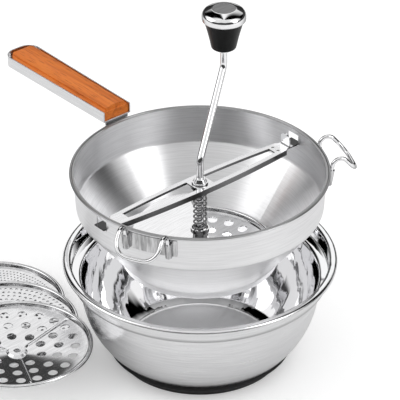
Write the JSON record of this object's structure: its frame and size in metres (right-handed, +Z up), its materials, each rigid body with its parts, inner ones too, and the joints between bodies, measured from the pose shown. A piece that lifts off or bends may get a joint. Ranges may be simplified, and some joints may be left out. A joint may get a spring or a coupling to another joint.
{
  "type": "food mill",
  "caption": "Hand-cranked steel food mill with a wooden handle and wire hooks, held above its receiving bowl, with its loose grating discs beside the bowl.",
  "frame": {"origin": "centre of the underside of the bowl's silicone base, on the crank's axis", "axes": "+Z up along the crank's axis; +Y outwards along the wooden handle; +X along the locking bar towards its thumb tab"},
  "size_m": [0.3377, 0.3696, 0.3061],
  "materials": {
    "polished_steel": "polished",
    "satin_steel": "satin",
    "chromed_steel": "mirror",
    "spring_steel": "drawn wire",
    "handle_wood": "oiled, lengthwise grain",
    "black_plastic": "gloss",
    "black_silicone": "matte"
  },
  "bodies": {
    "bowl": {"receiving_bowl": "polished_steel", "silicone_base": "black_silicone"},
    "mill": {"hopper": "satin_steel", "fitted_disc": "polished_steel", "hook_plate_left": "polished_steel", "hook_plate_right": "polished_steel", "hook_wire_left": "polished_steel", "hook_wire_right": "polished_steel", "handle_bracket": "satin_steel", "handle_tray": "satin_steel", "wood_grip": "handle_wood", "grip_screws": "satin_steel", "locking_bar": "polished_steel", "bar_bushing": "satin_steel", "spring_washer": "satin_steel"},
    "float": {"spring": "spring_steel", "spring_cup": "satin_steel"},
    "crank": {"crank_rod": "chromed_steel", "blade": "polished_steel", "blade_hub": "satin_steel", "hub_pin": "satin_steel", "knob_collar": "satin_steel"},
    "knob": {"knob_body": "black_plastic", "knob_cap": "chromed_steel", "knob_inlay": "satin_steel"},
    "fine_disc": {"spare_disc_fine": "polished_steel"},
    "medium_disc": {"spare_disc_medium": "polished_steel"},
    "coarse_disc": {"spare_disc_coarse": "polished_steel"}
  },
  "joints": [
    {"name": "mill_lift", "type": "slide", "parent": "bowl", "child": "mill", "axis": [0, 0, 1], "range_m": [-0.065, 0.1]},
    {"name": "blade_float", "type": "slide", "parent": "mill", "child": "float", "axis": [0, 0, 1], "range_m": [0, 0.005], "stiffness_N_per_m": 500, "springref_m": -0.02, "deforming": ["spring"]},
    {"name": "crank_turn", "type": "hinge", "parent": "float", "child": "crank", "pos_m": [0, 0, 0.17], "axis": [0, 0, 1], "continuous": true},
    {"name": "knob_spin", "type": "hinge", "parent": "crank", "child": "knob", "pos_m": [0.04985, 0.02763, 0.27], "axis": [0, 0, 1], "continuous": true},
    {"name": "fine_disc_lift", "type": "slide", "parent": "bowl", "child": "fine_disc", "axis": [-0.6382, 0.3041, 0.7072], "range_m": [0, 0.15]},
    {"name": "medium_disc_lift", "type": "slide", "parent": "fine_disc", "child": "medium_disc", "axis": [-0.6382, 0.3041, 0.7072], "range_m": [0, 0.15]},
    {"name": "coarse_disc_lift", "type": "slide", "parent": "medium_disc", "child": "coarse_disc", "axis": [-0.6382, 0.3041, 0.7072], "range_m": [0, 0.15]}
  ]
}
